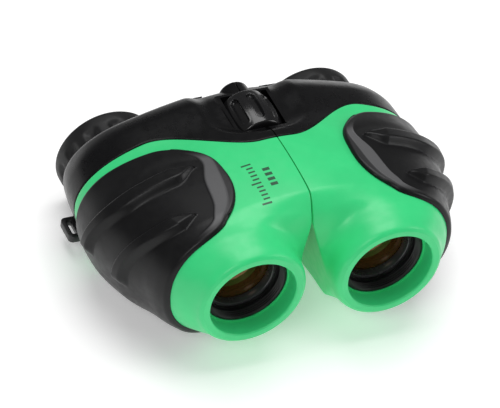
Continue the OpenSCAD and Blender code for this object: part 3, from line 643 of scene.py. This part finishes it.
around, along = 360, 90
t = np.linspace(-1, 1, along)
ang = np.arange(around) / around * 2 * math.pi
TT, AA = np.meshgrid(t, ang, indexing="ij")
pitch = 2 * math.pi / SLOTS
off = (np.mod(AA + pitch / 2, pitch) - pitch / 2) * WHEEL_R
yy = TT * WHEEL_LEN / 2
end = np.maximum(0, np.abs(yy + 0.4) - 4.1)
gap = np.hypot(off, end) - 1.2
crown = WHEEL_R - 1.0 * TT**2 - 0.5 * np.clip((np.abs(TT) - 0.93) / 0.07, 0, 1) ** 2
rr = crown - 0.95 * ease(-gap / 0.42 + 0.35) + 0.08 * np.exp(-((gap - 0.25) / 0.22) ** 2)
rows = [ring_about(0, HINGE_H, r, WHEEL_Y - WHEEL_LEN / 2, ang) for r in (2.06, 5.5)]
for i in range(along):
    rows.append(ring_about(0, HINGE_H, rr[i], WHEEL_Y + t[i] * WHEEL_LEN / 2, ang))
for r, y in ((5.5, 7.5), (3.4, 7.5), (2.92, 7.3), (2.92, 1.5), (2.06, 1.5)):
    rows.append(ring_about(0, HINGE_H, r, WHEEL_Y + y, ang))
wheel = piece("focus_wheel_moulding", rows, strip_faces(len(rows), around, close_rows=True), crease=50)
fit_out(wheel, wheel_black, "focus_wheel", "wheel_plastic", "focus_wheel")
refinish(steel, "focus_screw")

# Eyepiece carriers
# Grey arms with a nut at the hinge end carry the sliding eyepiece barrels. Each barrel holds a
# field lens and an eye lens, kept by a plain ring.
barrel_black = moulded("barrel_black", (0.012, 0.012, 0.013), 0.4, grain=0.3, depth=0.008, level=0.4)
eye_coat = coated_glass("eye_coat", (0.55, 0.62, 1.0), (0.008, 0.009, 0.014))
refinish(frame_grey, "left_bridge", "right_bridge")
refinish(steel, "left_bridge_screws", "right_bridge_screws")
refinish(barrel_black, "left_eye_barrel", "right_eye_barrel", "dioptre_cell")
refinish(prism_glass, "left_field_lens", "right_field_lens")
refinish(eye_coat, "left_eye_lens", "right_eye_lens")
refinish(ring_grey, "left_lens_ring", "right_lens_ring")

# Eyecups
# Soft black rubber cups pushed over the barrels, with rounded flutes next to the cover. The right
# one sits further out, to leave room for the dioptre ring.
cup_rubber = moulded("cup_rubber", (0.008, 0.008, 0.0085), 0.5, grain=0.3, depth=0.02, mottle=0.1, scuff=0.05,
                     level=0.35)
CUP_R, CUP_FRONT, DIOPTRE_W, FLUTES = 16.1, 32.7, 3.0, 12
n = 384
ang = np.arange(n) / n * 2 * math.pi
flute = np.mod(ang + math.pi / FLUTES, 2 * math.pi / FLUTES) - math.pi / FLUTES
for side, half in ((-1, "left"), (1, "right")):
    out = DIOPTRE_W if side > 0 else 0
    y0 = CUP_FRONT + (out + 0.2 if side > 0 else 0)
    wall = [(12.64, y0 + 0.1), (CUP_R - 2.1, y0)]
    wall += [(CUP_R - 1.6 + 1.2 * math.sin(k), y0 + 1.0 - 1.0 * math.cos(k))
             for k in np.linspace(0.1, 1.57, 6)]
    wall += [(CUP_R - 0.4 + 0.4 * (y - y0 - 1) / (38.7 + out - y0 - 1), y)
             for y in np.linspace(y0 + 1.2, 38.7 + out, 16)]
    wall += [(CUP_R, 40.4 + out)]
    wall += [(CUP_R - 1.0 + 1.0 * math.cos(k), 41.1 + out + 1.0 * math.sin(k))
             for k in np.linspace(0.0, 1.57, 7)]
    wall += [(r, y + out) for r, y in ((CUP_R - 1.9, 42.1), (CUP_R - 2.7, 42.0), (CUP_R - 3.6, 41.3),
                                       (11.75, 40.6),
                                       (11.6, 40.3), (11.6, 39.95), (12.64, 39.95))]
    rows = []
    for r, y in wall:
        reach = ease((38.9 + out - y) / 2.2) * (r > 13.9)
        deep = 1.15 * reach * np.exp(-np.abs(flute * CUP_R / 2.05) ** 3.2)
        ring_r = r - deep
        rows.append(ring_about(EYE_X, EYE_H, ring_r, y, ang))
    cup = piece(half + "_eyecup_moulding", rows, strip_faces(len(rows), n, close_rows=True), side, crease=60)
    fit_out(cup, cup_rubber, half + "_eyepiece", "eyecup_rubber", half + "_eyecup")

# Dioptre ring
# A scalloped ring between the right eyecup and the cover. Turning it moves the lens cell inside.
SCALLOPS = 24
n = 480
ang = np.arange(n) / n * 2 * math.pi
cut = np.mod(ang + math.pi / SCALLOPS, 2 * math.pi / SCALLOPS) - math.pi / SCALLOPS
notch = 0.65 * np.exp(-np.abs(cut * 15.5 / 0.85) ** 2.4)
rows = []
# radius, place along the length, and whether the scallops are cut there
for r, y, k in ((12.66, 32.7, 0), (14.6, 32.7, 0), (15.2, 32.75, 1), (15.5, 33.0, 1), (15.5, 34.2, 1),
                (15.5, 35.4, 1), (15.2, 35.65, 1), (14.6, 35.7, 0), (12.66, 35.7, 0)):
    ring_r = r - k * notch
    rows.append(ring_about(EYE_X, EYE_H, ring_r, y, ang))
dioptre = piece("dioptre_ring_moulding", rows, strip_faces(len(rows), n, close_rows=True), crease=60)
fit_out(dioptre, barrel_black, "dioptre_ring", "cover_plastic", "dioptre_ring")

# Side grips
# Thick rubber pads glued round the outside of each shell. A smooth crescent borders the inner end, painted
# paler as a painted sheen, and two tapered ribs point at it from the outside. The sole underneath is flat, to
# stand on.
grip_rubber = moulded("grip_rubber", (0.007, 0.007, 0.0075), 0.36, grain=0.22, depth=0.014, mottle=0.06,
                      scuff=0.03, level=0.24, painted_sheen_colour=(0.11, 0.11, 0.113))
GRIP_LEN, GRIP_HALF_W = 92.0, 19.3
SKIN_GAP, GRIP_T, SOLE_T, RIB_H = 0.15, 1.35, 0.9, 2.3


def rib(s, y0, line, half, tip, heel, taper):
    """Height of one rib: a flat-topped bar with bevelled sides and a pencil point at the inner end."""
    w = half * np.clip((s - tip) / taper, 0, 1)
    v = np.abs(y0 - line) / np.maximum(w, 1e-3)
    side = np.clip((1 - v) / 0.55, 0, 1)
    ends = (w > 0.02) * np.clip(w / half, 0, 1) ** 0.5 * ease((heel - s) / 5)
    return (0.55 * side + 0.45 * ease(side)) * ends


def side_grip(side):
    # s runs round the shell from the inner end of the grip on the roof to the end underneath
    around = np.radians(np.linspace(101, -80, 1500))
    line = body_skin(np.full(1500, -12.0), around)
    run = np.concatenate([[0], np.cumsum(np.linalg.norm(np.diff(line, axis=0), axis=1))])
    u = np.concatenate([np.linspace(-1, -0.1, 150)[:-1], np.linspace(-0.1, 1, 91)])
    U, V = np.meshgrid(u, np.linspace(-1, 1, 150), indexing="ij")
    X, Y = U * np.sqrt(1 - V * V / 2), V * np.sqrt(1 - U * U / 2)
    far = np.hypot(X, Y)
    c, d = np.abs(X) / np.maximum(far, 1e-9), np.abs(Y) / np.maximum(far, 1e-9)
    full = np.maximum((c**3 + d**3) ** (-1 / 3), 1)
    X, Y = X * (1 + (full - 1) * far**2), Y * (1 + (full - 1) * far**2)
    S = GRIP_LEN / 2 * (1 + X)
    Y0 = -12.6 + 5.4 * np.exp(-S / 7) - 1.6 * ease((S - 28) / 25) + GRIP_HALF_W * Y
    A = np.interp(S, run, around)
    base = body_skin(Y0, A)
    rim = np.concatenate([base[0], base[-1], base[:, 0], base[:, -1]])
    flat = base.reshape(-1, 3)
    edge = np.concatenate([np.min(np.linalg.norm(part[:, None] - rim[None], axis=2), axis=1)
                           for part in np.array_split(flat, 12)])
    edge = edge.reshape(base.shape[:2])
    inner = ease((40 - S) / 22)
    field_at = 1.3 + (0.1 + 6.0 * np.exp(-((Y0 + 14.5) / 10.5) ** 2)) * inner
    crease_at = 0.36 * field_at
    field = ease((edge - field_at) / 0.45 + 0.5)
    crescent = ease((field_at - 1.9) / 1.2) * inner
    h = SKIN_GAP + GRIP_T * np.sqrt(np.clip(1 - (1 - np.clip(edge / 1.15, 0, 1)) ** 2, 0, 1))
    h = h + crescent * (0.13 * np.exp(-((edge - crease_at) / 0.17) ** 2) - 0.32 * field)
    h = h + SOLE_T * ease((S - 66) / 10) * ease(edge / 3)
    rear_line = -7.2 + 3.0 * ease((S - 28) / 22) + 1.7 * ease((13 - S) / 6)
    rear = rib(S, Y0, rear_line, 3.4 - 1.2 * ease((S - 26) / 20), 6.6, 51, 7.5)
    front = rib(S, Y0, -21.6 + 4.8 * ease((S - 24) / 26), 3.1 - 0.9 * ease((S - 26) / 20), 17.2, 53, 6.5)
    h = h + RIB_H * (rear + front) * ease((edge - 0.4) / 1.5)
    top = body_skin(Y0, A, -h)
    top[..., 2] = np.maximum(top[..., 2], 0)
    low = body_skin(Y0, A, -SKIN_GAP)
    rows_n, cols_n = base.shape[:2]
    k = rows_n * cols_n
    upper = strip_faces(rows_n, cols_n, close_ring=False)
    faces = upper + [tuple(v + k for v in f[::-1]) for f in upper]
    loop = [i * cols_n for i in range(rows_n)] + [(rows_n - 1) * cols_n + j for j in range(1, cols_n)]
    loop += [i * cols_n + cols_n - 1 for i in range(rows_n - 2, -1, -1)]
    loop += [j for j in range(cols_n - 2, 0, -1)]
    faces += [(a, b, b + k, a + k) for a, b in zip(loop, loop[1:] + loop[:1])]
    name = ("left" if side < 0 else "right") + "_side_grip"
    # painted sheen on the crescent: paler from the crease towards the field, fading out at the outer edge
    pale = crescent * (1 - field) * (0.25 + 0.75 * ease((edge - crease_at) / 0.5 + 0.5))
    pale = (pale * ease((edge - 0.3) / 0.8)).ravel()
    points = np.concatenate([top.reshape(-1, 3), low.reshape(-1, 3)])
    return piece(name, points, faces, side, crease=50, tone=np.concatenate([pale, pale * 0]))


for side, half in ((-1, "left"), (1, "right")):
    fit_out(side_grip(side), grip_rubber, half + "_half", "grip_rubber", half + "_grip")

# Studio
# A pale seamless floor and soft light boxes.
floor_mesh = bpy.data.meshes.new("studio_floor")
s = 4.0
floor_mesh.from_pydata([(-s, -s, 0), (s, -s, 0), (s, s, 0), (-s, s, 0)], [], [(0, 1, 2, 3)])
floor = bpy.data.objects.new("studio_floor", floor_mesh)
bpy.context.scene.collection.objects.link(floor)
paper = moulded("studio_paper", (0.93, 0.93, 0.93), 0.9, grain=1.5, depth=0.01, mottle=0.005, scuff=0.0,
                level=0.1)
paper.node_tree.nodes["Principled BSDF"].inputs["Emission Color"].default_value = (1, 1, 1, 1)
paper.node_tree.nodes["Principled BSDF"].inputs["Emission Strength"].default_value = 0.3
floor_mesh.materials.append(paper)


def soft_box(name, place, size, power, colour=(1, 1, 1)):
    data = bpy.data.lights.new(name, "AREA")
    data.shape, data.size, data.energy, data.color = "SQUARE", size, power, colour
    lamp = bpy.data.objects.new(name, data)
    lamp.location = place
    lamp.rotation_euler = (Vector((0, 0, 0.02)) - Vector(place)).to_track_quat("-Z", "Y").to_euler()
    bpy.context.scene.collection.objects.link(lamp)


soft_box("top_box", (0.05, 0.15, 1.0), 0.8, 7.6)
soft_box("key_box", (-0.55, -0.65, 0.75), 0.4, 2.6)
soft_box("fill_box", (0.8, -0.35, 0.45), 0.4, 1.8)
world = bpy.data.worlds.new("studio")
world.use_nodes = True
world.node_tree.nodes["Background"].inputs["Color"].default_value = (1, 1, 1, 1)
world.node_tree.nodes["Background"].inputs["Strength"].default_value = 0.14
bpy.context.scene.world = world

# Camera
az, el, roll = math.radians(-29.7), math.radians(41.6), math.radians(9.6)
back = Vector((math.sin(az) * math.cos(el), -math.cos(az) * math.cos(el), math.sin(el)))
right0 = Vector((math.cos(az), math.sin(az), 0))
up0 = back.cross(right0)
right = right0 * math.cos(roll) + up0 * math.sin(roll)
up = up0 * math.cos(roll) - right0 * math.sin(roll)
target = Vector((-0.00528, -0.00265, 0.02573))
cam_data = bpy.data.cameras.new("camera")
cam_data.sensor_width, cam_data.lens = 36.0, 278.7
cam_data.clip_start, cam_data.clip_end = 0.05, 20
cam = bpy.data.objects.new("camera", cam_data)
place = target + back * 1.152
cam.matrix_world = Matrix([[right[i], up[i], back[i], place[i]] for i in range(3)] + [[0, 0, 0, 1]])
bpy.context.scene.collection.objects.link(cam)
bpy.context.scene.camera = cam
bpy.context.scene.view_settings.view_transform = "Standard"
